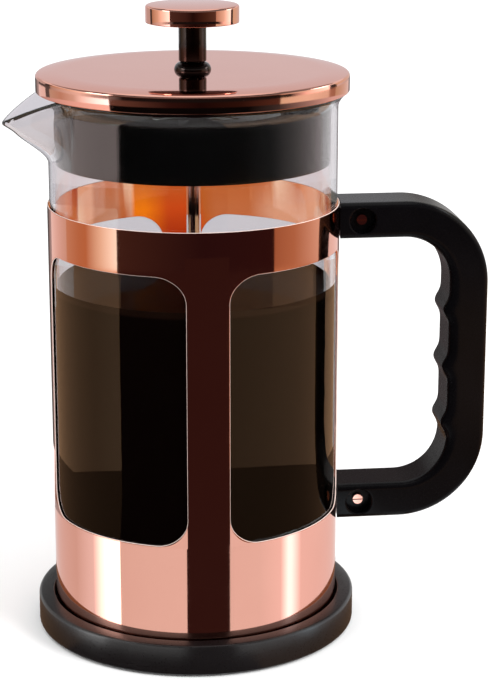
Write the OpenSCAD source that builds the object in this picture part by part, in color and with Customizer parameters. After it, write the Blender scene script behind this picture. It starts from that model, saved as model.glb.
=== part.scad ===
// Press coffee maker: a glass beaker in a polished sheet-metal frame, with a
// plastic base and handle, a lid that lifts off and a plunger that slides through it.
// Millimetres. Origin at the centre of the table under the feet, +Z up.
// The handle is on +X and the pouring lip on -X.

/* [Frame] */
// Outer radius of the sheet-metal frame
frame_r = 51; // [50.6:0.1:51.2]
// Thickness of the frame's sheet
sheet_t = 0.5; // [0.4:0.1:0.6]
// Height of the frame's top edge
frame_top = 154.8; // [150:0.5:158]
// Height of the lower edge of the windows
window_low = 45; // [40:1:60]
// Height of the upper edge of the windows
window_high = 139.8; // [120:0.5:142]
// Corner radius of the windows
window_corner = 9.5; // [4:0.5:14]
// Width of the straps between the windows
strap_w = 14.5; // [10:0.5:24]
// Width of the flange turned in at the bottom
flange_w = 13; // [10:1:18]

/* [Base] */
// Outer radius of the base
base_r = 57.3; // [56:0.1:62]
// Height of the base's rim
base_h = 11.5; // [10:0.5:14]
// Radius of the recess that takes the frame
recess_r = 51.7; // [51.5:0.1:52.5]
// Number of screws that hold the frame on the base
screw_n = 4; // [3:1:6]

/* [Beaker] */
// Outer radius of the glass
glass_r = 50.2; // [49.8:0.1:50.2]
// Thickness of the glass wall
glass_t = 2; // [1.8:0.1:2]
// Thickness of the glass floor
glass_floor = 3.5; // [2.5:0.5:3.5]
// Height of the glass rim
rim_top = 194; // [194:1:194]
// How far the lip's tip stands from the axis
lip_reach = 65.7; // [60:0.1:68]
// Height of the lip's tip
lip_z = 182.5; // [180:0.5:186]

/* [Lid] */
// Outer radius of the metal lid
lid_r = 54; // [54:0.1:56]
// Depth of the metal lid's rim
lid_h = 6.2; // [6:0.1:7]
// Outer radius of the plastic insert
insert_r = 47.7; // [46:0.1:47.7]
// Height of the insert's lower edge
insert_low = 169.6; // [165:0.2:176]

/* [Handle] */
// Width of the handle
handle_w = 20; // [16:1:24]
// How far the grip stands from the axis
grip_out = 104; // [100:1:108]
// Thickness of the grip
grip_t = 13.8; // [12:0.2:16]
// Depth of the finger bumps
bump_h = 2.1; // [0:0.1:3]
// Distance from bump to bump
bump_pitch = 21; // [18:1:24]

/* [Plunger] */
// Radius of the rod
rod_r = 2.5; // [2.5:0.1:2.5]
// Radius of the knob's disc
knob_r = 16.1; // [12:0.1:20]
// Radius of the knob's stem
stem_r = 4.8; // [4.2:0.1:5]
// Height of the knob's top
knob_top = 223.1; // [221:0.1:226]
// Holes in each ring of the spiral plate
plate_holes = 18; // [12:1:20]

/* [Hidden] */
$fn = 96;
eps = 0.01;

copper = [0.85, 0.52, 0.42];
steel = [0.78, 0.78, 0.8];
gunmetal = [0.14, 0.13, 0.13];
plastic = [0.06, 0.06, 0.06];
silicone = [0.2, 0.2, 0.2];
clear_glass = [0.85, 0.92, 0.95, 0.35];

// Heights of the base, from the table up
tray_low = 0.6;
mat_top = 1.6;
mat_r = 48;
tray_floor = 6;
pad_low = tray_floor + sheet_t;
pad_top = pad_low + 2;
screw_ring_r = 43.5;
m3_r = 1.5;
m3_head_r = 2.6;
m3_head_h = 1.5;
screw_tip = 2.6;

// Beaker
cavity_r = glass_r - glass_t;
cavity_low = pad_top + glass_floor;
rim_r = 52.6;
rim_flare = 7;
lip_low = 163;
lip_half_angle = 22;
lip_tip_r = 1.6;

// Lid, from its underside up
cap_low = rim_top + 0.2;
cap_rise = 0.5;
cap_flat_r = 44;
cap_edge = 1;
cap_top = cap_low + lid_h + cap_rise;
cap_t = 0.8;
cap_inside = cap_low + lid_h - cap_t;
insert_flange_low = rim_top + 0.1;
insert_flange_t = 2.5;
insert_wall = 1.8;
guide_r = 7;
guide_low = 176;
washer_t = 0.8;
bush_r = 4;
bush_flange_r = 6.5;
bush_flange_t = 2;
bush_low = guide_low - bush_flange_t;
bush_proud = 2.2;
slide_gap = 0.06;
collar_r = 6.4;
collar_h = 2.7;
collar_bead_r = 2.7;
collar_top = cap_top + collar_h;
slot_n = 5;
slot_w = 1.4;
slot_step = 3.6;

// Handle
arm_top = 154.5;
arm_t = 12.8;
arm_low = 38;
handle_gap = 0.35;
handle_start = frame_r - 3;
corner_upper = 30;
corner_lower = 31;
corner_inner = 16.5;
bump_mid = 93.8;
screw_x = 58.5;
upper_screw_z = arm_top - arm_t / 2;
lower_screw_z = arm_low + arm_t / 2;
head_recess_r = 4.5;
head_recess_depth = 4.4;
clear_r = m3_r + 0.15;
handle_screw_r = 1;
handle_clear_r = handle_screw_r + 0.15;
handle_head_r = 1.8;
handle_head_h = 1.4;
nut_h = 1.6;
nut_half_flats = 2;
lug_foot_w = 10;
lug_foot_h = 8;
lug_foot_t = 1;
lug_t = 2;
lug_h = 7;
lug_end = 62.5;
lug_play = 0.3;

// Plunger, pressed down
knob_t = 6;
knob_edge = 0.7;
knob_low = knob_top - knob_t;
stem_low = collar_top + 0.3;
spigot_r = 3;
spigot_h = 3;
rod_top = stem_low + 9;
hub_low = cavity_low + 1.5;
hub_r = 4.5;
cross_low = hub_low + 5;
cross_t = 1.2;
cross_r = 44;
mesh_low = cross_low + cross_t;
mesh_t = 0.4;
mesh_r = 46;
spiral_low = mesh_low + mesh_t;
spiral_t = 0.8;
spiral_r = 44.4;
spring_wire_r = 1.4;
spring_ring_r = spiral_r + spring_wire_r + 0.1;
lock_nut_h = 4;
lock_nut_half_flats = 4;
hole_r = 1.6;

// A ring: a cylinder with a round hole through it
module ring(outer, inner, low, high) {
    translate([0, 0, low]) difference() {
        cylinder(r = outer, h = high - low);
        translate([0, 0, -eps]) cylinder(r = inner, h = high - low + 2 * eps);
    }
}

// A hexagonal prism measured across its flats
module hex(flats_r, h) {
    cylinder(r = flats_r / cos(30), h = h, $fn = 6);
}

// A disc with rounded outer edges
module rounded_disc(r, low, high, edge) {
    rotate_extrude() union() {
        translate([0, low]) square([r - edge, high - low]);
        translate([0, low + edge]) square([r, high - low - 2 * edge]);
        for (z = [low + edge, high - edge])
            translate([r - edge, z]) circle(r = edge, $fn = 24);
    }
}

// Copies its child round the axis
module around(n, r, first = 0) {
    for (i = [0 : n - 1])
        rotate([0, 0, first + i * 360 / n]) translate([r, 0, 0]) children();
}

// One window's outline, as a prism from the axis outward along +X
module window_prism() {
    half_angle = 45 - asin(strap_w / 2 / frame_r);
    half_w = frame_r * sin(half_angle);
    c = window_corner;
    h = window_high - window_low;
    translate([0, 0, window_low]) rotate([90, 0, 90]) linear_extrude(frame_r + 5) {
        translate([-half_w + c, 0]) square([2 * (half_w - c), h]);
        translate([-half_w, c]) square([2 * half_w, h - 2 * c]);
        for (x = [-1, 1], z = [c, h - c])
            translate([x * (half_w - c), z]) circle(r = c, $fn = 64);
    }
}

module frame_shell() {
    color(copper) difference() {
        union() {
            ring(frame_r, frame_r - sheet_t, tray_floor, frame_top);
            ring(frame_r, frame_r - flange_w, tray_floor, pad_low);
        }
        for (i = [0 : 3]) rotate([0, 0, 45 + 90 * i]) window_prism();
        around(screw_n, screw_ring_r)
            translate([0, 0, tray_floor - 1]) cylinder(r = clear_r, h = 3, $fn = 32);
    }
}

module base_tray() {
    edge = 1;
    color(plastic) difference() {
        rotate_extrude() union() {
            translate([0, mat_top]) square([recess_r + 1, tray_floor - mat_top]);
            translate([mat_r + 0.1, tray_low]) square([base_r - edge - mat_r - 0.1, tray_floor - tray_low]);
            translate([recess_r, tray_low + edge]) square([base_r - recess_r, base_h - tray_low - 2 * edge]);
            translate([recess_r, tray_low]) square([base_r - recess_r - edge, base_h - tray_low]);
            for (z = [tray_low + edge, base_h - edge])
                translate([base_r - edge, z]) circle(r = edge, $fn = 24);
        }
        around(screw_n, screw_ring_r) translate([0, 0, screw_tip - 0.2]) cylinder(r = m3_r, h = 9, $fn = 32);
    }
}

// Non-slip mat let into the underside of the base
module base_mat() {
    color(silicone) cylinder(r = mat_r, h = mat_top);
}

module base_screws() {
    shaft = pad_low - screw_tip;
    color(steel) around(screw_n, screw_ring_r) difference() {
        union() {
            translate([0, 0, pad_low]) cylinder(r = m3_head_r, h = m3_head_h, $fn = 32);
            translate([0, 0, pad_low - shaft]) cylinder(r = m3_r, h = shaft + eps, $fn = 32);
        }
        for (a = [0, 90]) rotate([0, 0, a])
            translate([-1.5, -0.3, pad_low + m3_head_h - 0.7]) cube([3, 0.6, 1]);
    }
}

module glass_pad() {
    color(silicone) difference() {
        ring(cavity_r - 0.5, 30, pad_low, pad_top);
        around(screw_n, screw_ring_r)
            translate([0, 0, pad_low - 1]) cylinder(r = m3_head_r + 0.5, h = 4, $fn = 32);
    }
}

// Points of an arc, from one angle to another
function arc(cx, cz, r, from, to, n = 20) =
    [for (i = [0 : n]) let (a = from + (to - from) * i / n) [cx + r * cos(a), cz + r * sin(a)]];

// Inner face of the grip: a straight line with rounded bumps between the fingers
function grip_in(z) =
    grip_out - grip_t - bump_h * pow(cos(180 * (z - bump_mid) / bump_pitch), 8);

module handle_outline() {
    inner_x = grip_out - grip_t - corner_inner;
    inner_top = arm_top - arm_t - corner_inner;
    inner_low = arm_low + arm_t + corner_inner;
    steps = 56;
    polygon(concat(
        [[handle_start, arm_top]],
        arc(grip_out - corner_upper, arm_top - corner_upper, corner_upper, 90, 0),
        arc(grip_out - corner_lower, arm_low + corner_lower, corner_lower, 0, -90),
        [[handle_start, arm_low], [handle_start, arm_low + arm_t]],
        arc(inner_x, inner_low, corner_inner, -90, 0, 14),
        [for (i = [1 : steps - 1])
            let (z = inner_low + (inner_top - inner_low) * i / steps) [grip_in(z), z]],
        arc(inner_x, inner_top, corner_inner, 0, 90, 14),
        [[handle_start, arm_top - arm_t]]
    ));
}

// Pocket for a lug, and the screw's hole with a recess at each end
module lug_pocket(z) {
    w = lug_foot_w + 2 * lug_play;
    h = lug_foot_h + 2 * lug_play;
    intersection() {
        cylinder(r = frame_r + lug_foot_t + lug_play, h = 200);
        translate([40, -w / 2, z - h / 2]) cube([20, w, h]);
    }
    translate([frame_r - 3, -lug_t / 2 - lug_play, z - lug_h / 2 - lug_play])
        cube([lug_end + lug_play - frame_r + 3, lug_t + 2 * lug_play, lug_h + 2 * lug_play]);
    translate([screw_x, 0, z]) rotate([90, 0, 0]) {
        cylinder(r = handle_clear_r, h = handle_w + 2, center = true, $fn = 32);
        for (s = [-1, 1])
            translate([0, 0, s * (handle_w - head_recess_depth)])
                cylinder(r = head_recess_r, h = handle_w, center = true);
    }
}

module handle() {
    color(plastic) difference() {
        rotate([90, 0, 0]) linear_extrude(handle_w, center = true) handle_outline();
        cylinder(r = frame_r + handle_gap, h = 200);
        lug_pocket(upper_screw_z);
        lug_pocket(lower_screw_z);
    }
}

// A curved foot welded on the frame, with a tongue that the screw passes through
module lug(z) {
    color(steel) difference() {
        union() {
            intersection() {
                ring(frame_r + lug_foot_t, frame_r, 0, 200);
                translate([40, -lug_foot_w / 2, z - lug_foot_h / 2]) cube([20, lug_foot_w, lug_foot_h]);
            }
            translate([frame_r + lug_foot_t / 2, -lug_t / 2, z - lug_h / 2])
                cube([lug_end - frame_r - lug_foot_t / 2, lug_t, lug_h]);
        }
        translate([screw_x, 0, z]) rotate([90, 0, 0])
            cylinder(r = handle_clear_r, h = 10, center = true, $fn = 32);
    }
}

module upper_lug() { lug(upper_screw_z); }
module lower_lug() { lug(lower_screw_z); }

// A slotted screw across the handle's arm, with its head towards -Y
module handle_screw(z) {
    seat = handle_w / 2 - head_recess_depth;
    slot_h = 0.5;
    color(copper) translate([screw_x, 0, z]) rotate([90, 0, 0]) difference() {
        union() {
            translate([0, 0, seat]) cylinder(r = handle_head_r, h = handle_head_h);
            translate([0, 0, -seat - nut_h])
                cylinder(r = handle_screw_r, h = 2 * seat + nut_h + eps, $fn = 32);
        }
        translate([-handle_head_r, -slot_h / 2, seat + handle_head_h - slot_h])
            cube([2 * handle_head_r, slot_h, 1]);
    }
}

module upper_handle_screw() { handle_screw(upper_screw_z); }
module lower_handle_screw() { handle_screw(lower_screw_z); }

module handle_nut(z) {
    seat = handle_w / 2 - head_recess_depth;
    color(steel) translate([screw_x, seat, z]) rotate([-90, 0, 0]) difference() {
        hex(nut_half_flats, nut_h);
        translate([0, 0, -1]) cylinder(r = handle_screw_r, h = nut_h + 2, $fn = 32);
    }
}

module upper_handle_nut() { handle_nut(upper_screw_z); }
module lower_handle_nut() { handle_nut(lower_screw_z); }

// Solid lip, drawn in from its outer face; lift raises its top so that it cuts the mouth open
module lip_form(inset, lift) {
    hull() {
        translate([-lip_reach + lip_tip_r + inset * 1.4, 0, lip_z + inset * 0.4])
            sphere(r = lip_tip_r, $fn = 20);
        translate([-lip_reach + lip_tip_r + inset * 1.4, 0, lip_z + inset * 0.4 + lift])
            sphere(r = lip_tip_r, $fn = 20);
        for (s = [-1, 1]) rotate([0, 0, s * lip_half_angle])
            translate([-glass_r + 1 + inset, 0, rim_top - 12])
                cylinder(r = 1, h = 11.9 + lift, $fn = 16);
        translate([-glass_r + 1 + inset, 0, lip_low + inset * 2]) sphere(r = 1, $fn = 16);
    }
}

module beaker() {
    corner = 5;
    color(clear_glass) difference() {
        union() {
            rotate_extrude() union() {
                translate([0, pad_top]) square([glass_r - corner, rim_top - pad_top]);
                translate([0, pad_top + corner]) square([glass_r, rim_top - pad_top - corner]);
                translate([glass_r - corner, pad_top + corner]) circle(r = corner, $fn = 48);
                polygon([[glass_r, rim_top - rim_flare], [rim_r, rim_top - 2],
                         [rim_r, rim_top - 1], [rim_r - 1, rim_top], [0, rim_top]]);
            }
            lip_form(0, 0);
        }
        translate([0, 0, cavity_low]) cylinder(r = cavity_r, h = 200);
        lip_form(1.8, 12);
    }
}

module lid_cap() {
    // The top is flat in the middle, falls away by up to 9 degrees and ends in a rounded edge
    turn = lid_r - cap_edge * (1 - sin(9));
    slope = [for (i = [0 : 6]) let (r = cap_flat_r + (turn - cap_flat_r) * i / 6)
             [r, cap_top - tan(9) * pow(r - cap_flat_r, 2) / (turn - cap_flat_r) / 2]];
    low_turn = slope[6][1] - cap_edge * cos(9);
    edge = [for (a = [66 : -11 : 0]) [lid_r - cap_edge + cap_edge * cos(a), low_turn + cap_edge * sin(a)]];
    color(copper) difference() {
        rotate_extrude() polygon(concat([[0, cap_low], [0, cap_top]], slope, edge, [[lid_r, cap_low]]));
        translate([0, 0, cap_low - 1]) cylinder(r = lid_r - cap_t, h = cap_inside - cap_low + 1);
        cylinder(r = bush_r + 0.1, h = 250, $fn = 64);
    }
}

module lid_insert() {
    flange_top = insert_flange_low + insert_flange_t;
    boss_top = cap_inside - washer_t;
    color(plastic) difference() {
        union() {
            ring(lid_r - cap_t - 0.1, 6, insert_flange_low, flange_top);
            ring(insert_r, insert_r - insert_wall, insert_low, insert_flange_low + 1);
            translate([0, 0, guide_low]) cylinder(r = guide_r, h = boss_top - guide_low);
        }
        cylinder(r = bush_r + 0.1, h = 250, $fn = 64);
        for (i = [0 : slot_n - 1])
            rotate([0, 0, 180 + (i - (slot_n - 1) / 2) * slot_step])
                translate([insert_r - 5, -slot_w / 2, insert_low + 6]) cube([10, slot_w, 14]);
    }
}

module lid_bush() {
    color(steel) difference() {
        union() {
            translate([0, 0, bush_low]) cylinder(r = bush_r, h = cap_top + bush_proud - bush_low);
            translate([0, 0, bush_low]) cylinder(r = bush_flange_r, h = bush_flange_t);
        }
        cylinder(r = rod_r + slide_gap, h = 250, $fn = 64);
    }
}

module lid_washer() {
    color(steel) ring(8, bush_r + 0.2, cap_inside - washer_t, cap_inside);
}

// A collar shaped as the upper half of a bead, widest just above the lid
module lid_collar() {
    bead_x = collar_r - collar_bead_r;
    color(gunmetal) difference() {
        rotate_extrude() intersection() {
            union() {
                translate([0, cap_top]) square([bead_x, collar_h]);
                translate([bead_x, collar_top - collar_bead_r]) circle(r = collar_bead_r, $fn = 64);
            }
            translate([0, cap_top]) square([collar_r + 1, collar_h]);
        }
        translate([0, 0, cap_top - 1]) cylinder(r = bush_r, h = bush_proud + 1, $fn = 64);
        cylinder(r = rod_r + 0.4, h = 250, $fn = 64);
    }
}

module knob_disc() {
    color(copper) difference() {
        rounded_disc(knob_r, knob_low, knob_top, knob_edge);
        translate([0, 0, knob_low - 1]) cylinder(r = spigot_r, h = spigot_h + 1, $fn = 48);
    }
}

module knob_stem() {
    color(gunmetal) difference() {
        union() {
            translate([0, 0, stem_low]) cylinder(r = stem_r, h = knob_low - stem_low);
            translate([0, 0, knob_low - eps]) cylinder(r = spigot_r, h = spigot_h + eps, $fn = 48);
        }
        translate([0, 0, stem_low - 1]) cylinder(r = rod_r, h = rod_top - stem_low + 1, $fn = 64);
    }
}

module plunger_rod() {
    color(steel) translate([0, 0, hub_low]) cylinder(r = rod_r, h = rod_top - hub_low, $fn = 64);
}

module lock_nut() {
    color(steel) translate([0, 0, spiral_low + spiral_t]) difference() {
        hex(lock_nut_half_flats, lock_nut_h);
        translate([0, 0, -1]) cylinder(r = rod_r, h = lock_nut_h + 2, $fn = 64);
    }
}

// Top plate of the filter, with rings of drain holes and an upturned rim
module spiral_plate() {
    color(steel) difference() {
        union() {
            ring(spiral_r, rod_r, spiral_low, spiral_low + spiral_t);
            ring(spiral_r, spiral_r - spiral_t, spiral_low, spiral_low + 3.2);
        }
        for (r = [14, 24, 34])
            around(plate_holes, r, r) translate([0, 0, spiral_low - 1]) cylinder(r = hole_r, h = 3, $fn = 16);
    }
}

module edge_spring() {
    color(steel) rotate_extrude()
        translate([spring_ring_r, spiral_low + spring_wire_r + 0.1]) circle(r = spring_wire_r, $fn = 24);
}

module mesh_screen() {
    color(steel) ring(mesh_r, rod_r, mesh_low, spiral_low);
}

// Bottom plate of the filter: a cross of ribs in a ring, with a threaded hub
module cross_plate() {
    color(steel) difference() {
        union() {
            ring(cross_r, cross_r - 5, cross_low, mesh_low);
            ring(15, 1, cross_low, mesh_low);
            for (i = [0 : 5]) rotate([0, 0, 60 * i])
                translate([10, -3, cross_low]) cube([cross_r - 12, 6, cross_t]);
            translate([0, 0, hub_low]) cylinder(r = hub_r, h = cross_low - hub_low + eps);
        }
        cylinder(r = rod_r, h = 50, $fn = 64);
    }
}

frame_shell();
base_tray();
base_mat();
base_screws();
glass_pad();
handle();
upper_lug();
lower_lug();
upper_handle_screw();
lower_handle_screw();
upper_handle_nut();
lower_handle_nut();
beaker();
lid_cap();
lid_insert();
lid_bush();
lid_washer();
lid_collar();
knob_disc();
knob_stem();
plunger_rod();
lock_nut();
spiral_plate();
edge_spring();
mesh_screen();
cross_plate();
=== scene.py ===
"""Press coffee maker with a copper-plated frame: looks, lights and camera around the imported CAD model."""

import math

import bmesh
import bpy
from mathutils import Matrix, Vector


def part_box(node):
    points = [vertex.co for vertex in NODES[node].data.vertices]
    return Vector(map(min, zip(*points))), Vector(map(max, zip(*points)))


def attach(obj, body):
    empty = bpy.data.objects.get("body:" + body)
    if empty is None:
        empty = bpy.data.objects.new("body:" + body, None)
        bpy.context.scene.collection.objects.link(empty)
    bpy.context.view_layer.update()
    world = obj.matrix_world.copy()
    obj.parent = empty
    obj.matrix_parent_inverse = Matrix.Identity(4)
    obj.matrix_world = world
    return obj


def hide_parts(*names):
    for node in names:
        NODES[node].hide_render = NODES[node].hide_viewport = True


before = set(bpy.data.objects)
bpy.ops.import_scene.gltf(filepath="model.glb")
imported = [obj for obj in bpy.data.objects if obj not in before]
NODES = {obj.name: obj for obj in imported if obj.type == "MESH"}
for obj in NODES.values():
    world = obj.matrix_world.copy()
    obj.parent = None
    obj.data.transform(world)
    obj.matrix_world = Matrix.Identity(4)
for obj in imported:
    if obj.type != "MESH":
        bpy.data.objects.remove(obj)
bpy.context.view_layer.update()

MM = 0.001
TURN = 2 * math.pi


# ---- mesh helpers
def link(name, mesh, body, replaces=()):
    """A new piece that rides on a body and takes the place of the named CAD nodes."""
    piece = bpy.data.objects.new(name, mesh)
    bpy.context.scene.collection.objects.link(piece)
    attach(piece, body)
    if replaces:
        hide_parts(*replaces)
    return piece


def tidy_mesh(mesh, sharp=35, merge=1e-7):
    """Merges doubled points, points faces outward and marks the sharp edges."""
    bm = bmesh.new()
    bm.from_mesh(mesh)
    bmesh.ops.remove_doubles(bm, verts=bm.verts, dist=merge)
    bmesh.ops.recalc_face_normals(bm, faces=bm.faces)
    bm.to_mesh(mesh)
    bm.free()
    mesh.shade_smooth()
    mesh.set_sharp_from_angle(angle=math.radians(sharp))
    return mesh


def mesh_from(name, points, faces, sharp=35):
    mesh = bpy.data.meshes.new(name)
    mesh.from_pydata([tuple(p) for p in points], [], faces)
    return tidy_mesh(mesh, sharp)


def exact_mesh(name, points, normals, faces):
    """A mesh shaded by the given normals, so that a mirror finish reflects without ripples."""
    mesh = bpy.data.meshes.new(name)
    mesh.from_pydata([tuple(p) for p in points], [], faces)
    layer = mesh.attributes.new("exact", "FLOAT_VECTOR", "POINT")
    layer.data.foreach_set("vector", [c for n in normals for c in n])
    tidy_mesh(mesh, 180, 2e-6)
    kept = [Vector(d.vector).normalized() for d in mesh.attributes["exact"].data]
    mesh.normals_split_custom_set_from_vertices(kept)
    mesh.attributes.remove(mesh.attributes["exact"])
    return mesh


def arc(cx, cz, r, start, end, steps=6):
    """Points of an arc in a profile, from one angle to another, in degrees."""
    angles = [math.radians(start + (end - start) * i / steps) for i in range(steps + 1)]
    return [(cx + r * math.cos(a), cz + r * math.sin(a)) for a in angles]


def rounded(corners, steps=5):
    """A closed outline through corners (x, z, radius), each rounded by an arc of its radius."""
    out = []
    for i, (x, z, r) in enumerate(corners):
        if r <= 0:
            out.append((x, z))
            continue
        here = Vector((x, z))
        back = (Vector(corners[i - 1][:2]) - here).normalized()
        on = (Vector(corners[(i + 1) % len(corners)][:2]) - here).normalized()
        half = back.angle(on) / 2
        centre = here + (back + on).normalized() * (r / math.sin(half))
        start = here + back * (r / math.tan(half)) - centre
        end = here + on * (r / math.tan(half)) - centre
        a0 = math.atan2(start.y, start.x)
        sweep = (math.atan2(end.y, end.x) - a0 + math.pi) % TURN - math.pi
        for k in range(steps + 1):
            a = a0 + sweep * k / steps
            out.append((centre.x + r * math.cos(a), centre.y + r * math.sin(a)))
    return out


def spun(profile, segments, closed):
    """Points and faces of a profile of (radius, height), in millimetres, turned about the axis."""
    n = len(profile)
    points, faces = [], []
    for i in range(segments):
        a = TURN * i / segments
        points += [Vector((r * MM * math.cos(a), r * MM * math.sin(a), z * MM)) for r, z in profile]
    for i in range(segments):
        a, b = i * n, (i + 1) % segments * n
        for j in range(n if closed else n - 1):
            k = (j + 1) % n
            on_axis = [profile[m][0] < 1e-9 for m in (j, k)]
            if all(on_axis):
                continue
            quad = [a + j, b + j, b + k, a + k]
            if on_axis[0]:
                quad.remove(b + j)
            if on_axis[1]:
                quad.remove(b + k)
            faces.append(quad)
    return points, faces


def lathe(name, profile, body, replaces=(), segments=192, closed=True, sharp=35):
    """A turned piece. The profile is in millimetres."""
    return link(name, mesh_from(name, *spun(profile, segments, closed), sharp), body, replaces)


def soften(node, width):
    """Rounds the edges of a CAD node that is shown, without changing its mesh."""
    piece = NODES[node]
    flat = piece.modifiers.new("merge_flats", "DECIMATE")
    flat.decimate_type = "DISSOLVE"
    flat.angle_limit = math.radians(2)
    edge = piece.modifiers.new("edges", "BEVEL")
    edge.width = width * MM
    edge.segments = 2
    edge.limit_method = "ANGLE"
    edge.angle_limit = math.radians(40)
    edge.harden_normals = True
    return piece


def cut(piece, profile, place, segments):
    """Cuts a turned shape out of a piece. The profile is in millimetres, and a matrix places it."""
    points, faces = spun(profile, segments, True)
    mesh = mesh_from("cutter", [place @ p for p in points], faces)
    tool = bpy.data.objects.new("cutter", mesh)
    bpy.context.scene.collection.objects.link(tool)
    mod = piece.modifiers.new("cut", "BOOLEAN")
    mod.operation = "DIFFERENCE"
    mod.solver = "EXACT"
    mod.object = tool
    bpy.context.view_layer.update()
    graph = bpy.context.evaluated_depsgraph_get()
    result = bpy.data.meshes.new_from_object(piece.evaluated_get(graph))
    piece.modifiers.clear()
    piece.data = result
    bpy.data.objects.remove(tool)
    bpy.data.meshes.remove(mesh)


# ---- materials
def material(name, **values):
    """A material whose Principled shader has the given socket values."""
    mat = bpy.data.materials.new(name)
    mat.use_nodes = True
    shader = mat.node_tree.nodes["Principled BSDF"]
    for key, value in values.items():
        shader.inputs[key.replace("_", " ")].default_value = value
    return mat, mat.node_tree, shader


def node(tree, kind, **values):
    made = tree.nodes.new(kind)
    for key, value in values.items():
        if key in made.inputs:
            made.inputs[key].default_value = value
        else:
            setattr(made, key, value)
    return made


def noise_of(tree, scale, detail=3, stretch=(1, 1, 1), roughness=0.5):
    """Noise in object space, in cells per metre, that can be drawn out along an axis."""
    place = node(tree, "ShaderNodeTexCoord")
    mapping = node(tree, "ShaderNodeMapping")
    mapping.inputs["Scale"].default_value = stretch
    tree.links.new(place.outputs["Object"], mapping.inputs["Vector"])
    made = node(tree, "ShaderNodeTexNoise", Scale=scale, Detail=detail, Roughness=roughness)
    tree.links.new(mapping.outputs["Vector"], made.inputs["Vector"])
    return made.outputs["Fac"]


def ranged(tree, source, low, high, from_low=0.0, from_high=1.0):
    """Maps a value onto a range."""
    made = node(tree, "ShaderNodeMapRange")
    for key, value in (("From Min", from_low), ("From Max", from_high), ("To Min", low), ("To Max", high)):
        made.inputs[key].default_value = value
    tree.links.new(source, made.inputs["Value"])
    return made.outputs["Result"]


def mixed(tree, factor, low, high):
    """A colour between two, by a factor."""
    made = node(tree, "ShaderNodeMix", data_type="RGBA")
    made.inputs["A"].default_value = (*low, 1)
    made.inputs["B"].default_value = (*high, 1)
    tree.links.new(factor, made.inputs["Factor"])
    return made.outputs["Result"]


def paint(tree, shader, factor, low, high):
    """A base colour between two, by a factor."""
    tree.links.new(mixed(tree, factor, low, high), shader.inputs["Base Color"])


def roughen(tree, shader, source, low, high):
    """A roughness between two, by a noise."""
    tree.links.new(ranged(tree, source, low, high, 0.3, 0.7), shader.inputs["Roughness"])


def bump(tree, shader, height, distance, strength=1.0):
    made = node(tree, "ShaderNodeBump", Distance=distance * MM, Strength=strength)
    tree.links.new(height, made.inputs["Height"])
    tree.links.new(made.outputs["Normal"], shader.inputs["Normal"])


def copper_plate():
    """Polished copper plating: a mirror with faint haze, fine rubbing marks and slight tarnish in places."""
    mat, tree, shader = material("copper_plate", Metallic=1.0, Specular_Tint=(1.0, 0.88, 0.86, 1))
    tarnish = ranged(tree, noise_of(tree, 22, 4), 0, 1, 0.35, 0.75)
    paint(tree, shader, tarnish, (0.862, 0.445, 0.352), (0.820, 0.405, 0.318))
    roughen(tree, shader, noise_of(tree, 60, 5, roughness=0.6), 0.035, 0.085)
    rubbing = noise_of(tree, 900, 2, stretch=(1, 1, 0.05))
    bump(tree, shader, rubbing, 0.002, 0.25)
    return mat


def chrome(name, tint, rough, grain):
    """Bright steel with a fine grain drawn out along the height."""
    mat, tree, shader = material(name, Metallic=1.0, Base_Color=(*tint, 1))
    lines = noise_of(tree, grain, 3, stretch=(1, 1, 0.08))
    roughen(tree, shader, lines, rough * 0.6, rough * 1.5)
    bump(tree, shader, lines, 0.003, 0.3)
    return mat


def gunmetal():
    """Dark plated metal, a little warm."""
    mat, tree, shader = material("gunmetal", Metallic=1.0)
    patch = ranged(tree, noise_of(tree, 90, 4), 0, 1, 0.3, 0.7)
    paint(tree, shader, patch, (0.050, 0.037, 0.034), (0.036, 0.026, 0.024))
    roughen(tree, shader, noise_of(tree, 500, 3), 0.1, 0.2)
    return mat


def moulded(name, colour, rough, level, texture, depth, worn=1.6):
    """Moulded plastic with a fine spark-eroded texture, slightly uneven in colour and gloss."""
    mat, tree, shader = material(name, IOR=1.49, Specular_IOR_Level=level)
    cloud = ranged(tree, noise_of(tree, 45, 4), 0, 1, 0.3, 0.7)
    light = tuple(c * worn for c in colour)
    paint(tree, shader, cloud, colour, light)
    grain = noise_of(tree, texture, 4, roughness=0.65)
    roughen(tree, shader, grain, rough * 0.8, rough * 1.25)
    bump(tree, shader, grain, depth)
    return mat


def beaker_glass():
    """Clear borosilicate with very faint drawn streaks."""
    mat, tree, shader = material(
        "beaker_glass", Transmission_Weight=1.0, IOR=1.47, Roughness=0.0, Base_Color=(0.925, 0.915, 0.915, 1)
    )
    streaks = noise_of(tree, 40, 2, stretch=(1, 1, 0.15))
    bump(tree, shader, streaks, 0.012, 0.5)
    return mat


def brewed_coffee():
    """Dark brew: nearly opaque, with light in its top layer and a wet gloss."""
    mat, tree, shader = material("brewed_coffee", IOR=1.02, Roughness=0.03)
    place = node(tree, "ShaderNodeTexCoord")
    split = node(tree, "ShaderNodeSeparateXYZ")
    tree.links.new(place.outputs["Object"], split.inputs["Vector"])
    height = ranged(tree, split.outputs["Z"], 0, 1, 0.1245, 0.1254)
    paint(tree, shader, height, (0.0026, 0.0016, 0.0011), (0.021, 0.0105, 0.0062))
    bump(tree, shader, noise_of(tree, 25, 2), 0.05, 0.4)
    return mat


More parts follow.
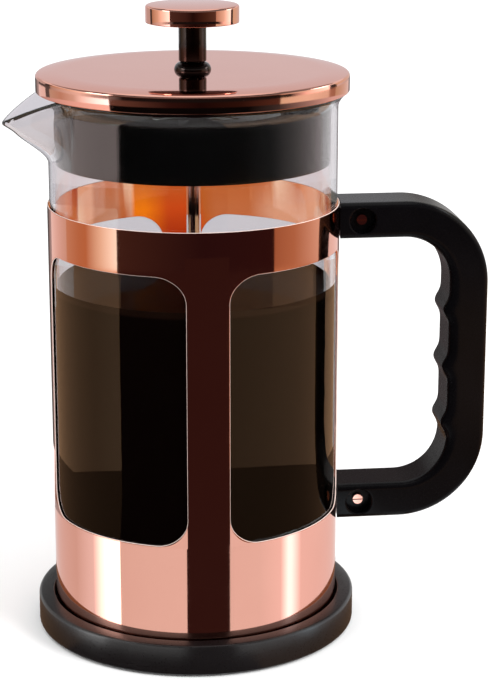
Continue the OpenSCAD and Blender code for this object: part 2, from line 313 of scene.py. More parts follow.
COPPER = copper_plate()
STEEL = chrome("stainless_steel", (0.74, 0.73, 0.72), 0.16, 700)
ROD_STEEL = chrome("rod_chrome", (0.80, 0.79, 0.78), 0.06, 900)
# Painted shade: dark, rough copper that stands in for the shade under the knob's disc.
PAINTED_SHADE_COPPER = chrome("copper_underside_painted_shade", (0.07, 0.025, 0.018), 0.4, 500)
# Painted highlight: a pale, pinkish non-metal for the frame's cut edges, standing in for the bright line that
# they reflect.
CUT_EDGE_HIGHLIGHT = moulded("cut_edge_painted_highlight", (0.80, 0.62, 0.56), 0.4, 0.5, 900, 0.002, 1.1)
GUNMETAL = gunmetal()
BASE_PLASTIC = moulded("base_plastic", (0.0045, 0.0038, 0.0042), 0.31, 0.62, 1500, 0.035)
HANDLE_PLASTIC = moulded("handle_plastic", (0.0014, 0.0012, 0.0016), 0.24, 0.12, 1100, 0.012)
INSERT_PLASTIC = moulded("insert_plastic", (0.0035, 0.0035, 0.0036), 0.10, 0.5, 300, 0.002)
RUBBER = moulded("silicone_rubber", (0.022, 0.022, 0.023), 0.55, 0.3, 900, 0.02)
GLASS = beaker_glass()
COFFEE = brewed_coffee()


def dress(piece, mat):
    piece.data.materials.clear()
    piece.data.materials.append(mat)
    return piece


def dress_faces(piece, mat, chosen):
    """Gives a second material to the faces that a test picks."""
    piece.data.materials.append(mat)
    for face in piece.data.polygons:
        if chosen(face):
            face.material_index = 1
    return piece


# ---- punched sheet tubes
def window_outline(half_w, low, high, corner, side_steps, top_steps):
    """A rounded window's points as (u, z, normal u, normal z), with the side of the sheet that each faces."""
    rim, facing = [], []
    for sign_z, sign_u in ((1, 1), (1, -1), (-1, -1), (-1, 1)):
        centre_u = sign_u * (half_w - corner)
        centre_z = high - corner if sign_z > 0 else low + corner
        from_side = sign_z == sign_u
        for k in range(13):
            t = k / 12 if from_side else 1 - k / 12
            a = math.radians(90 * t)
            nu, nz = sign_u * math.cos(a), sign_z * math.sin(a)
            rim.append((centre_u + corner * nu, centre_z + corner * nz, nu, nz))
            facing.append(("corner", sign_u, sign_z, t))
        steps = top_steps if from_side else side_steps
        for k in range(1, steps):
            t = k / steps
            if from_side:
                rim.append((centre_u * (1 - 2 * t), centre_z + sign_z * corner, 0, sign_z))
                facing.append(("level", 0, sign_z, 0))
            else:
                to_z = low + corner if sign_z > 0 else high - corner
                rim.append((sign_u * half_w, centre_z + (to_z - centre_z) * t, sign_u, 0))
                facing.append(("side", sign_u, 0, 0))
    return rim, facing


class SheetTube:
    """A sheet-metal or plastic tube with rounded windows. Each edge of the sheet is rounded."""

    def __init__(self, r_out, sheet, low, high):
        self.half = sheet / 2
        self.mid = r_out - self.half
        self.low, self.high = low + self.half, high - self.half
        self.points, self.normals, self.faces = [], [], []
        self.levels = {self.low, self.high}
        self.angles = set()

    def put(self, angle, z, side, along, up, out):
        """A point at an angle, side half-sheets out from the middle, with its normal."""
        radial = Vector((math.cos(angle), math.sin(angle), 0))
        across = Vector((-radial.y, radial.x, 0))
        self.points.append(radial * (self.mid + self.half * side) + Vector((0, 0, z)))
        self.normals.append((radial * out + across * along + Vector((0, 0, up))).normalized())
        return len(self.points) - 1

    def skin(self, rows, loop=True):
        for a, b in zip(rows, rows[1:]):
            for i in range(len(a) if loop else len(a) - 1):
                j = (i + 1) % len(a)
                self.faces.append((a[i], a[j], b[j], b[i]))

    def window(self, centre, half_sector, half_w, low, high, corner, side_steps=8, rings=6):
        """A window in the middle of a sector of the tube. Lengths across are flat, as a cutter sees them."""
        top_steps = max(2, round(2 * half_w / (1.4 * MM)))
        rim, facing = window_outline(half_w, low, high, corner, side_steps, top_steps)
        side_u = self.mid * math.sin(half_sector)
        outer = []
        for (u, z, _, _), (kind, sign_u, sign_z, t) in zip(rim, facing):
            edge_z = self.high if sign_z > 0 else self.low
            if kind == "level":
                outer.append((u, edge_z))
            elif kind == "side":
                outer.append((sign_u * side_u, z))
            else:
                start_z = high - corner if sign_z > 0 else low + corner
                start_u = sign_u * (half_w - corner)
                down, over = min(1, t * 2), max(0, t * 2 - 1)
                outer.append((sign_u * side_u + (start_u - sign_u * side_u) * over,
                              start_z + (edge_z - start_z) * down))
        turn = [(centre + math.asin(u / self.mid), z) for u, z, _, _ in rim]
        turn_out = [(centre + math.asin(u / self.mid), z) for u, z in outer]
        for side in (1, -1):
            self.skin([
                [self.put(a + (b - a) * k / rings, z + (y - z) * k / rings, side, 0, 0, side)
                 for (a, z), (b, y) in zip(turn, turn_out)]
                for k in range(rings + 1)
            ])
        rows = []
        for k in range(7):
            s, c = math.sin(math.pi * k / 6), math.cos(math.pi * k / 6)
            rows.append([
                self.put(a - nu * self.half * s / self.mid, z - nz * self.half * s, c, -nu * s, -nz * s, c)
                for (a, z), (_, _, nu, nz) in zip(turn, rim)
            ])
        self.skin(rows)
        for a, z in turn_out:
            if abs(a - centre) > half_sector - 1e-6:
                self.levels.add(z)
            if z in (self.low, self.high):
                self.angles.add(a)

    def plain(self, start, end, step=1.5):
        """A stretch with no window."""
        levels = sorted(self.levels)
        steps = max(1, round(math.degrees(end - start) / step))
        turns = [start + (end - start) * i / steps for i in range(steps + 1)]
        for side in (1, -1):
            self.skin([[self.put(a, z, side, 0, 0, side) for z in levels] for a in turns], loop=False)
        self.angles.update(turns)

    def edges(self):
        """Rounds the upper and lower edge."""
        turns = []
        for a in sorted(a % TURN for a in self.angles):
            if not turns or a - turns[-1] > 1e-5:
                turns.append(a)
        if turns[0] + TURN - turns[-1] < 1e-5:
            turns.pop()
        for z, sign in ((self.low, -1), (self.high, 1)):
            rows = []
            for k in range(7):
                s, c = math.sin(math.pi * k / 6), math.cos(math.pi * k / 6)
                rows.append([self.put(a, z + sign * self.half * s, c, 0, sign * s, c) for a in turns])
            self.skin(rows)

    def mesh(self, name):
        self.edges()
        return exact_mesh(name, self.points, self.normals, self.faces)


def join_shell(mesh, profile, segments=192):
    """Adds a turned closed shell, in millimetres, to a mesh that keeps its own normals."""
    extra = mesh_from("shell", *spun(profile, segments, True))
    holder = [bpy.data.objects.new("part", m) for m in (mesh, extra)]
    for o in holder:
        bpy.context.scene.collection.objects.link(o)
    with bpy.context.temp_override(active_object=holder[0], selected_editable_objects=holder):
        bpy.ops.object.join()
    joined = holder[0].data
    bpy.data.objects.remove(holder[0])
    return joined


# ---- places from the CAD frame
def top_of(name):
    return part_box(name)[1]


def foot_of(name):
    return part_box(name)[0]


FRAME_R = top_of("frame_shell").x
FRAME_TOP = top_of("frame_shell").z
SHEET = 0.5 * MM
STRAP_W = 14.5 * MM
WINDOW_LOW = 45 * MM
WINDOW_HIGH = 139.8 * MM
WINDOW_CORNER = 9.5 * MM


# ---- the frame's body
def frame_skin():
    """The sheet frame: a band at top and bottom, four straps between four windows, and cut edges in a pale
    non-metal that paints a highlight on them.
    """
    tube = SheetTube(FRAME_R, SHEET, foot_of("frame_shell").z, FRAME_TOP)
    quarter = TURN / 8
    half_w = FRAME_R * math.sin(quarter - math.asin(STRAP_W / 2 / FRAME_R))
    for i in range(4):
        tube.window(quarter * (1 + 2 * i), quarter, half_w, WINDOW_LOW, WINDOW_HIGH, WINDOW_CORNER)
    mesh = tube.mesh("frame_skin")
    flange = rounded([(38, 6, 0.2), (50.7, 6, 0.2), (50.7, 6.5, 0.2), (38, 6.5, 0.2)], 2)
    piece = link("frame_skin", join_shell(mesh, flange), "frame", ["frame_shell"])
    facing_out = 0.75

    def on_cut_edge(face):
        outward = Vector((face.center.x, face.center.y, 0))
        in_sheet = outward.length > FRAME_R - 2 * SHEET
        return in_sheet and abs(face.normal.dot(outward.normalized())) < facing_out

    # The cut edges are painted highlight: they get the pale non-metal instead of copper.
    dress_faces(dress(piece, COPPER), CUT_EDGE_HIGHLIGHT, on_cut_edge)


def base_ring():
    """The moulded base: a rounded rim round the recess that takes the frame, and a floor."""
    profile = rounded([
        (0, 1.6, 0), (48.1, 1.6, 0), (48.1, 0.6, 0.3), (57.3, 0.6, 1.0), (57.3, 11.5, 1.1),
        (51.75, 11.5, 0.5), (51.75, 6, 0.3), (0, 6, 0),
    ], 5)
    piece = lathe("base_ring", profile, "frame", ["base_tray"], 256, False)
    dress(piece, BASE_PLASTIC)


def base_pad():
    """Rubber mat under the base, with a raised lip and rings that grip the table."""
    corners = [(0, 1.6, 0), (47.9, 1.6, 0.1), (47.9, 0, 0.3), (45, 0, 0.2), (44.4, 0.5, 0.2)]
    for r in range(40, 8, -6):
        corners += [(r + 0.6, 0.5, 0.1), (r, 0.05, 0.1), (r - 0.6, 0.5, 0.1)]
    corners.append((0, 0.5, 0))
    piece = lathe("base_pad", rounded(corners, 3), "frame", ["base_mat"], 160, False)
    dress(piece, RUBBER)


def handle_outline():
    """The handle's side view as two closed lists of (x, z), clockwise from the frame at the top: its widest
    outline, and the outline of its flat faces."""
    top, low = top_of("handle").z / MM, foot_of("handle").z / MM
    out, arm, grip = top_of("handle").x / MM, 12.8, 13.8
    corner_up, corner_low, inner = 30, 31, 16.5
    start, soft, softer = 49, 2.2, 4.4
    inner_x = out - grip - inner
    z_low, z_top = low + arm + inner, top - arm - inner

    def bend(x, z, r, first, last, steps, near, far):
        """An arc of the outline and of the face, whose distance changes from near to far along it."""
        for k in range(steps + 1):
            t = k / steps
            a = math.radians(first + (last - first) * t)
            inset = near + (far - near) * t
            wide.append((x + r * math.cos(a), z + r * math.sin(a)))
            flat.append((x + (r - inset) * math.cos(a), z + (r - inset) * math.sin(a)))

    wide, flat = [(start, top)], [(start, top - soft)]
    bend(out - corner_up, top - corner_up, corner_up, 90, 0, 28, soft, soft)
    bend(out - corner_low, low + corner_low, corner_low, 0, -90, 28, soft, soft)
    wide += [(start, low), (start, low + arm)]
    flat += [(start, low + soft), (start, low + arm - soft)]
    bend(inner_x, z_low, inner, -90, 0, 18, -soft, -softer)
    steps, bump_at, bump_pitch, bump_reach = 96, 93.8, 21, 2.1
    for i in range(1, steps):
        z = z_low + (z_top - z_low) * i / steps
        swell = math.cos(math.pi * (z - bump_at) / bump_pitch) ** 8
        wide.append((out - grip - bump_reach * swell, z))
        flat.append((out - grip + softer - 0.3 * swell, z))
    bend(inner_x, z_top, inner, 0, 90, 18, -softer, -soft)
    wide.append((start, top - arm))
    flat.append((start, top - arm + soft))
    return wide, flat


def rounded_plate(wide, flat, width, depth, steps=8):
    """Points and faces of a closed outline in the XZ plane, as thick as width, whose rims curve from the wide
    outline to the flat one over the depth."""
    n = len(wide)
    points, faces, rings = [], [], []
    for side in (-1, 1):
        for k in (range(steps + 1) if side < 0 else range(steps, -1, -1)):
            a = math.pi / 2 * k / steps
            y = side * (width / 2 - depth * (1 - math.cos(a)))
            rings.append(range(len(points), len(points) + n))
            for (wx, wz), (fx, fz) in zip(wide, flat):
                share = math.sin(a)
                points.append(Vector(((fx + (wx - fx) * share) * MM, y * MM, (fz + (wz - fz) * share) * MM)))
    for a, b in zip(rings, rings[1:]):
        faces += [(a[i], a[(i + 1) % n], b[(i + 1) % n], b[i]) for i in range(n)]
    faces += [tuple(rings[0]), tuple(reversed(rings[-1]))]
    return points, faces


def handle_body():
    """The moulded handle, with rounded rims, finger bumps and a recess at each end of each screw."""
    width, rim, frame_fit = 20, 2.6, 51.35
    screw_x, screw_heights = 58.5, (148.1, 44.4)
    mesh = mesh_from("handle_body", *rounded_plate(*handle_outline(), width, rim), 40)
    piece = link("handle_body", mesh, "frame", ["handle"])
    cut(piece, [(0, 20), (frame_fit, 20), (frame_fit, 170), (0, 170)], Matrix.Identity(4), 360)
    recess = [(0, 5.6), (4.3, 5.6), (4.5, 5.8)] + arc(5.3, 9.2, 0.8, 180, 90, 5) + [(5.3, 12), (0, 12)]
    for z in screw_heights:
        for side in (-1, 1):
            place = Matrix.Translation((screw_x * MM, 0, z * MM)) @ Matrix.Rotation(-side * TURN / 4, 4, "X")
            cut(piece, recess, place, 64)
    tidy_mesh(piece.data, 38)
    flat_faces = piece.modifiers.new("flat_faces", "WEIGHTED_NORMAL")
    flat_faces.keep_sharp = True
    flat_faces.weight = 100
    dress(piece, HANDLE_PLASTIC)


# ---- the beaker's body
class Beaker:
    """The glass as a surface of (angle, row), with a pouring lip drawn out of the wall on -X."""

    outer_r, inner_r = 50.2, 48.2
    low, floor = 8.5, 12.0
    lip_from, top = 163.0, 193.0
    lip_half = math.radians(29)
    lip_out, lip_drop = 12.8, 10.3
    flare, flare_from = 2.2, 0.86

    def lip_share(self, angle, t):
        """How much of the lip's reach a column has: 1 at its middle, 0 outside it."""
        off = abs(angle % TURN - math.pi) / self.lip_half
        round_nose = 0.07 + 0.32 * (1 - t)
        x = math.hypot(off, round_nose) - round_nose
        full = math.hypot(1, round_nose) - round_nose
        share = max(0.0, 1 - x / full)
        return share ** 1.15

    def wall(self, angle, t):
        """The outer face between the lip's start, t = 0, and the rim, t = 1."""
        share = self.lip_share(angle, t)
        at_top = self.lip_share(angle, 1)
        rise = self.top - self.lip_from - self.lip_drop * at_top ** 1.05
        u = max(0.0, (t - 0.34) / 0.66)
        swell = 0.8 * (3 * u * u - 2 * u ** 3) + 0.2 * u
        v = max(0.0, (t - self.flare_from) / (1 - self.flare_from))
        r = self.outer_r + self.flare * v ** 1.8 + self.lip_out * share * swell
        return Vector((r * math.cos(angle), r * math.sin(angle), self.lip_from + rise * t))

    def normal(self, angle, t):
        d = 1e-3
        along = self.wall(angle + d, t) - self.wall(angle - d, t)
        up = self.wall(angle, min(1, t + d)) - self.wall(angle, max(0, t - d))
        return along.cross(up).normalized(), up.normalized()

    def column(self, angle):
        """One column of points, from the outer centre of the floor up over the rim and down inside."""
        def turned(profile):
            return [Vector((r * math.cos(angle), r * math.sin(angle), z)) for r, z in profile]

        out = turned([(0, self.low), (20, self.low), (40, self.low)] + arc(45.2, 13.5, 5, -90, 0, 8))
        out += turned([(self.outer_r, z) for z in range(20, 161, 10)])
        rows = 34
        inside = []
        for k in range(rows + 1):
            t = k / rows
            p = self.wall(angle, t)
            n, up = self.normal(angle, t)
            out.append(p)
            inside.append(p - n * 2)
        crown = out[-1] - n
        lip = [crown + n * math.cos(math.pi * k / 8) + up * math.sin(math.pi * k / 8) for k in range(1, 8)]
        out += lip
        out += reversed(inside)
        out += turned([(self.inner_r, z) for z in range(160, 19, -10)])
        out += turned(arc(45.2, 15, 3, 0, -90, 6) + [(30, self.floor), (0, self.floor)])
        return out

    def angles(self):
        fine = [math.pi + math.radians(0.8 * i) for i in range(-42, 43)]
        count = 146
        span = TURN - math.radians(0.8 * 84)
        coarse = [fine[-1] + span * i / count for i in range(1, count)]
        return fine + coarse

    def build(self):
        columns = [self.column(a) for a in self.angles()]
        n, m = len(columns[0]), len(columns)
        points = [p * MM for c in columns for p in c]
        faces = []
        for i in range(m):
            a, b = i * n, (i + 1) % m * n
            for j in range(n - 1):
                quad = [a + j, b + j, b + j + 1, a + j + 1]
                if j == 0:
                    quad.remove(b + j)
                if j == n - 2:
                    quad.remove(b + j + 1)
                faces.append(quad)
        mesh = mesh_from("beaker_glass", points, faces, 60)
        return dress(link("beaker_glass", mesh, "beaker", ["beaker"]), GLASS)


def coffee():
    """The brew, in contact with the glass, with a meniscus at the wall and round the rod."""
    r, floor, level, climb = 48.25, 11.95, 125.5, 1.8
    reach, fade, rod_climb = 4.5, 1.1, 0.7
    profile = [(0, floor), (30, floor)] + arc(45.2, 15, 3.05, -90, 0, 6) + [(r, level + climb)]
    profile += [(r - reach * k / 10, level + climb * math.exp(-reach * k / 10 / fade)) for k in range(1, 11)]
    profile += [(r - reach - (r - 2 * reach) * k / 14, level) for k in range(1, 14)]
    profile += [(reach - 2.1 * k / 6, level + rod_climb * (k / 6) ** 2) for k in range(1, 7)]
    profile.append((0, level + rod_climb))
    piece = dress(lathe("brewed_coffee", profile, "beaker", (), 192, False, 80), COFFEE)
    piece.visible_glossy = False


# ---- the lid's body
def lid_dome():
    """The metal lid: a disc that falls away towards a rounded edge, with a deep rim, open below."""
    top, low, r, sheet, flat, tilt = 200.9, 194.2, 54, 0.8, 44, math.radians(9)
    turn = r - 1 + math.sin(tilt)
    fall = math.tan(tilt) / (turn - flat) / 2
    slope = [(flat + (turn - flat) * i / 12, top - fall * ((turn - flat) * i / 12) ** 2) for i in range(13)]
    edge = arc(r - 1, slope[-1][1] - math.cos(tilt), 1, 81, 0, 12)[1:]
    profile = [(4.1, top), (flat / 2, top)] + slope + edge
    profile += rounded([(r, top - 4, 0), (r, low, 0.25), (r - sheet, low, 0.25), (r - sheet, 199.6, 0.3),
                        (4.1, 199.6, 0.1)], 6)
    dress(lathe("lid_dome", profile, "lid", ["lid_cap"], 320), COPPER)


def lid_skirt():
    """The plastic insert: a skirt with pouring slots, a flange above it and a tube that guides the rod."""
    tube = SheetTube(47.7 * MM, 1.8 * MM, 169.6 * MM, 196 * MM)
    step, slots = math.radians(3.6), 5
    for i in range(slots):
        centre = math.pi + (i - (slots - 1) / 2) * step
        tube.window(centre, step / 2, 0.7 * MM, 175.6 * MM, 189.6 * MM, 0.55 * MM, 8, 2)
    tube.plain(math.pi + step * slots / 2, math.pi - step * slots / 2 + TURN, 1.2)
    mesh = tube.mesh("lid_skirt")
    disc = rounded([
        (4.1, 176, 0.2), (7, 176, 0.5), (7, 194.1, 0.8), (53.1, 194.1, 0.5), (53.1, 196.6, 0.4),
        (7, 196.6, 0.8), (7, 198.8, 0.3), (4.1, 198.8, 0.2),
    ], 4)
    piece = link("lid_skirt", join_shell(mesh, disc), "lid", ["lid_insert"])
    dress(piece, INSERT_PLASTIC)


def collar():
    """The dark collar on the lid: the upper half of a bead, widest just above the lid."""
    foot, top, bead = 200.9, 203.6, 2.7
    profile = [(2.9, foot + 2.3), (4.1, foot + 2.3), (4.1, foot)]
    profile += arc(6.4 - bead, foot, bead, 0, 90, 18) + [(2.9, top)]
    dress(lathe("lid_bead", profile, "lid", ["lid_collar"], 128), GUNMETAL)


# ---- the plunger's body
def knob():
    """The knob's disc, flat on top with soft edges, and painted shade underneath: its downward faces get
    dark, rough copper.
    """
    top, low, r = 223.1, 217.1, 16.1
    profile = rounded([(0, top, 0), (r, top, 0.9), (r, low, 0.25), (3.0, low, 0.1), (3.0, low + 3, 0.1),
                       (0, low + 3, 0)], 6)
    piece = dress(lathe("knob_cap", profile, "plunger", ["knob_disc"], 192, False), COPPER)
    # Painted shade: the faces that look straight down get the dark copper instead of the bright plating.
    dress_faces(piece, PAINTED_SHADE_COPPER, lambda face: face.normal.z < -0.99)


def stem():
    """The knob's stem, with chamfered ends and a spigot that goes into the disc."""
    top, low, r = 217.1, 203.75, 4.8
    profile = rounded([
        (2.5, low, 0.1), (r, low, 0.5), (r, top, 0.3), (2.95, top, 0), (2.95, top + 2.9, 0.3),
        (0, top + 2.9, 0), (0, 212.9, 0), (2.5, 212.9, 0),
    ], 4)
    dress(lathe("knob_post", profile, "plunger", ["knob_stem"], 96), GUNMETAL)


def rod():
    """The rod, threaded at its lower end for the nut."""
    low, top, thread_top, pitch = 13.5, 212.9, 26.5, 0.8
    r = 2.49
    profile = [(0, low), (r - 0.4, low)]
    z = low + 0.4
    while z < thread_top:
        profile += [(r, z), (r - 0.35, z + pitch / 2)]
        z += pitch
    profile += [(r, z + (top - 0.5 - z) * k / 10) for k in range(11)] + [(r - 0.4, top), (0, top)]
    dress(lathe("piston_rod", profile, "plunger", ["plunger_rod"], 64, False, 50), ROD_STEEL)


def tube_along(path, r, sides, points, faces, loop=False):
    """Adds a round tube along a path to lists of points and faces."""
    count = len(path)
    first = len(points)
    up = Vector((0, 0, 1))
    for i, p in enumerate(path):
        a = path[(i - 1) % count] if loop or i > 0 else p
        b = path[(i + 1) % count] if loop or i < count - 1 else p
        along = (b - a).normalized()
        side = along.cross(up)
        side = side.normalized() if side.length > 1e-6 else Vector((1, 0, 0))
        other = along.cross(side)
        for k in range(sides):
            t = TURN * k / sides
            points.append(p + side * (r * math.cos(t)) + other * (r * math.sin(t)))
    for i in range(count if loop else count - 1):
        a, b = first + i * sides, first + (i + 1) % count * sides
        faces += [(a + k, a + (k + 1) % sides, b + (k + 1) % sides, b + k) for k in range(sides)]
    if not loop:
        faces.append(tuple(first + k for k in range(sides)))
        faces.append(tuple(first + (count - 1) * sides + k for k in reversed(range(sides))))


def woven_screen():
    """The filter's mesh: two sets of crimped wires that pass over and under, held in a pressed rim."""
    r, mid, pitch, wire = 45.4, 19.9, 1.8, 0.085
    points, faces = [], []
    count = int(2 * r / pitch)
    for axis in (0, 1):
        for i in range(count + 1):
            off = (i - count / 2) * pitch
            reach = math.sqrt(max(0, r * r - off * off))
            if reach < 3:
                continue
            steps = max(4, int(2 * reach / (pitch / 2)))
            path = []
            for k in range(steps + 1):
                s = -reach + 2 * reach * k / steps
                phase = math.pi * (s / pitch + count / 2 + i + axis)
                z = mid + wire * math.cos(phase)
                if abs(math.hypot(s, off)) < 2.5:
                    z = mid
                path.append(Vector((s, off, z)) * MM if axis == 0 else Vector((off, s, z)) * MM)
            tube_along(path, wire * MM, 4, points, faces)
    rim = rounded([(44.9, 19.72, 0.1), (46, 19.72, 0.15), (46, 20.08, 0.15), (44.9, 20.08, 0.1)], 2)
    ring_points, ring_faces = spun(rim, 160, True)
    base = len(points)
    points += ring_points
    faces += [tuple(base + v for v in f) for f in ring_faces]
    dress(link("filter_mesh", mesh_from("filter_mesh", points, faces, 60), "plunger",
               ["mesh_screen"]), STEEL)


def coil_spring():
    """The spring round the filter's edge: one wire wound in small turns along a ring."""
    ring, coil, wire, turns, per_turn = 45.9, 1.08, 0.3, 132, 10
    mid = 21.6
    path = []
    for k in range(turns * per_turn):
        a = TURN * k / (turns * per_turn)
        t = TURN * k / per_turn
        r = ring + coil * math.cos(t)
        path.append(Vector((r * math.cos(a), r * math.sin(a), mid + coil * math.sin(t))) * MM)
    points, faces = [], []
    tube_along(path, wire * MM, 6, points, faces, loop=True)
    dress(link("coil_spring", mesh_from("coil_spring", points, faces, 80), "plunger",
               ["edge_spring"]), STEEL)


# ---- build the object
frame_skin()
base_ring()
base_pad()
handle_body()
Beaker().build()
coffee()
lid_dome()
lid_skirt()
collar()
knob()
stem()
rod()
woven_screen()
coil_spring()

for name, width, mat in (
    ("base_screws", 0.15, STEEL), ("glass_pad", 0.2, RUBBER), ("upper_lug", 0.15, STEEL),
    ("lower_lug", 0.15, STEEL), ("upper_handle_screw", 0.2, COPPER), ("lower_handle_screw", 0.2, COPPER),
    ("upper_handle_nut", 0.2, STEEL), ("lower_handle_nut", 0.2, STEEL), ("lid_bush", 0.2, STEEL),
    ("lid_washer", 0.15, STEEL), ("lock_nut", 0.3, STEEL), ("spiral_plate", 0.15, STEEL),
    ("cross_plate", 0.2, STEEL),
):
    dress(soften(name, width), mat)


# ---- stage, lights and camera
def rgb(colour):
    """A colour, which may be given as one number for a grey."""
    return (colour,) * 3 if isinstance(colour, (int, float)) else colour


def glow(name, one_sided=False):
    """Emission in the colour that the mesh holds at each point. A one-sided card glows outwards only."""
    mat = bpy.data.materials.new(name)
    mat.use_nodes = True
    tree = mat.node_tree
    tree.nodes.clear()
    colour = node(tree, "ShaderNodeAttribute", attribute_name="glow")
    shine = node(tree, "ShaderNodeEmission", Strength=1.0)
    out = node(tree, "ShaderNodeOutputMaterial")
    tree.links.new(colour.outputs["Color"], shine.inputs["Color"])
    if one_sided:
        side = node(tree, "ShaderNodeNewGeometry")
        clear = node(tree, "ShaderNodeBsdfTransparent")
        both = node(tree, "ShaderNodeMixShader")
        tree.links.new(side.outputs["Backfacing"], both.inputs["Fac"])
        tree.links.new(shine.outputs["Emission"], both.inputs[1])
        tree.links.new(clear.outputs["BSDF"], both.inputs[2])
        tree.links.new(both.outputs["Shader"], out.inputs["Surface"])
    else:
        tree.links.new(shine.outputs["Emission"], out.inputs["Surface"])
    return mat


GLOW = glow("card_glow")
OUTWARD_GLOW = glow("outward_glow", one_sided=True)
CARD_SPAN = 130


def lit_mesh(name, points, faces, colours, mat):
    """A mesh that glows in the colour given for each point."""
    mesh = bpy.data.meshes.new(name)
    mesh.from_pydata(points, [], faces)
    layer = mesh.attributes.new("glow", "FLOAT_COLOR", "POINT")
    layer.data.foreach_set("color", [c for colour in colours for c in (*colour, 1.0)])
    mesh.materials.append(mat)
    return mesh


def strip_faces(count):
    """Faces of a strip whose points come in pairs, lower and upper."""
    return [(2 * i, 2 * i + 2, 2 * i + 3, 2 * i + 1) for i in range(count - 1)]


def card(name, lower, upper, stops, rays=("glossy",), mat=GLOW):
    """A curved card that only some rays see: it colours the reflections and nothing else. It runs between two
    rings, each (radius, height, how much lower it hangs at its sides).
    Stops are (degrees from -Y towards +X, colour) or (degrees, colour below, colour above)."""
    stops = [(stop[0], rgb(stop[1]), rgb(stop[-1])) for stop in stops]
    turns = []
    for (a, *here), (b, *there) in zip(stops, stops[1:]):
        steps = max(1, round((b - a) / 2))
        for k in range(steps):
            t = k / steps
            blend = [[p + (q - p) * t for p, q in zip(m, n)] for m, n in zip(here, there)]
            turns.append((a + (b - a) * t, *blend))
    turns.append(stops[-1])
    points, colours = [], []
    for a, below, above in turns:
        x, y = math.sin(math.radians(a)) * MM, -math.cos(math.radians(a)) * MM
        for r, z, sag in (lower, upper):
            points.append((x * r, y * r, max(0.1, z - sag * (a / CARD_SPAN) ** 2) * MM))
        colours += [below, above]
    unseen(name, lit_mesh(name, points, strip_faces(len(turns)), colours, mat), rays)


def unseen(name, mesh, rays):
    """A stage piece that only the named kinds of ray see."""
    piece = bpy.data.objects.new(name, mesh)
    bpy.context.scene.collection.objects.link(piece)
    for ray in ("camera", "diffuse", "glossy", "transmission", "volume_scatter", "shadow"):
        setattr(piece, "visible_" + ray, ray in rays)


def floor():
    """A pale floor that runs out of sight."""
    size, steps = 6.0, 24
    row = steps + 1
    points = [(size * (i / steps - 0.5), size * (j / steps - 0.5), 0) for j in range(row) for i in range(row)]
    corners = [j * row + i for j in range(steps) for i in range(steps)]
    faces = [(c, c + 1, c + 1 + row, c + row) for c in corners]
    mat, tree, shader = material("pale_floor", Roughness=0.9, Specular_IOR_Level=0.0)
    shade = ranged(tree, noise_of(tree, 3, 2), 0, 1)
    paint(tree, shader, shade, rgb(0.93), rgb(0.95))
    piece = bpy.data.objects.new("floor", mesh_from("floor", points, faces))
    bpy.context.scene.collection.objects.link(piece)
    piece.data.materials.append(mat)


def studio_world():
    """White all round, and a little stronger on diffuse surfaces."""
    world = bpy.data.worlds.new("studio")
    bpy.context.scene.world = world
    world.use_nodes = True
    tree = world.node_tree
    back = tree.nodes["Background"]
    back.inputs["Color"].default_value = (1, 1, 1, 1)
    path = node(tree, "ShaderNodeLightPath")
    tree.links.new(ranged(tree, path.outputs["Is Diffuse Ray"], 1.0, 1.25), back.inputs["Strength"])


def key_lamp():
    """A soft lamp that shows neither in reflections nor in the picture."""
    data = bpy.data.lights.new("key", "AREA")
    data.shape = "DISK"
    data.size = 0.6
    data.energy = 14
    piece = bpy.data.objects.new("key", data)
    bpy.context.scene.collection.objects.link(piece)
    place, aim = Vector((0.9, -0.9, 0.9)), Vector((0, 0, 0.1))
    turn = (place - aim).to_track_quat("Z", "Y").to_matrix().to_4x4()
    piece.matrix_world = Matrix.Translation(place) @ turn
    piece.visible_glossy = False
    piece.visible_camera = False


def camera():
    """The viewpoint: a long lens a little left of the front, looking down at 15.6 degrees."""
    distance, height, left = 0.730, 0.3088, math.radians(5.22)
    heading, pitch = math.radians(6.631), math.radians(15.64)
    focal_in_heights = 3.1383
    data = bpy.data.cameras.new("camera")
    data.sensor_width = 36
    data.lens = data.sensor_width * focal_in_heights
    data.clip_start = 0.05
    piece = bpy.data.objects.new("camera", data)
    bpy.context.scene.collection.objects.link(piece)
    level = Vector((math.sin(heading), math.cos(heading), 0))
    forward = level * math.cos(pitch) - Vector((0, 0, math.sin(pitch)))
    right = Vector((math.cos(heading), -math.sin(heading), 0))
    turn = Matrix((right, right.cross(forward), -forward)).transposed().to_4x4()
    place = Vector((-distance * math.sin(left), -distance * math.cos(left), height))
    piece.matrix_world = Matrix.Translation(place) @ turn
    bpy.context.scene.camera = piece


floor()
studio_world()
key_lamp()

WARM = (0.62, 0.35, 0.19)
BRIGHT_WARM = (0.95, 0.57, 0.32)
HALF_WARM = (0.22, 0.12, 0.065)
DIM = (0.033, 0.0135, 0.012)
BLACK = 0.003
# Where the large cards meet: (radius, height in front, how much lower at the sides)
FLOOR_END = (215, 0, 0)
WINDOWS_FOOT = (215, 16, 22)
SHOULDER_FOOT = (215, 84, 13)
BAND_FOOT = (215, 101, 11)
BAND_HEAD = (215, 127, 10)
INSERT_FOOT = (215, 135, 9)
INSERT_HEAD = (215, 165, 7)
LID_HEAD = (215, 177, 6)
STEM_HEAD = (215, 186.5, 8)
KNOB_HEAD = (215, 262, 0)
RIM_HEAD = (215, 305, 0)
SKY = (215, 520, 0)
# The dark front, in degrees: where the light ends on its left, and where the light starts on its right
LEFT, FRONT = -60, -59.9
RIGHT, BEYOND = 52, 52.8
LOW_RIGHT, LOW_BEYOND = 19, 19.1
# A radius between the upper band and the glass
INSIDE_R = 50.35

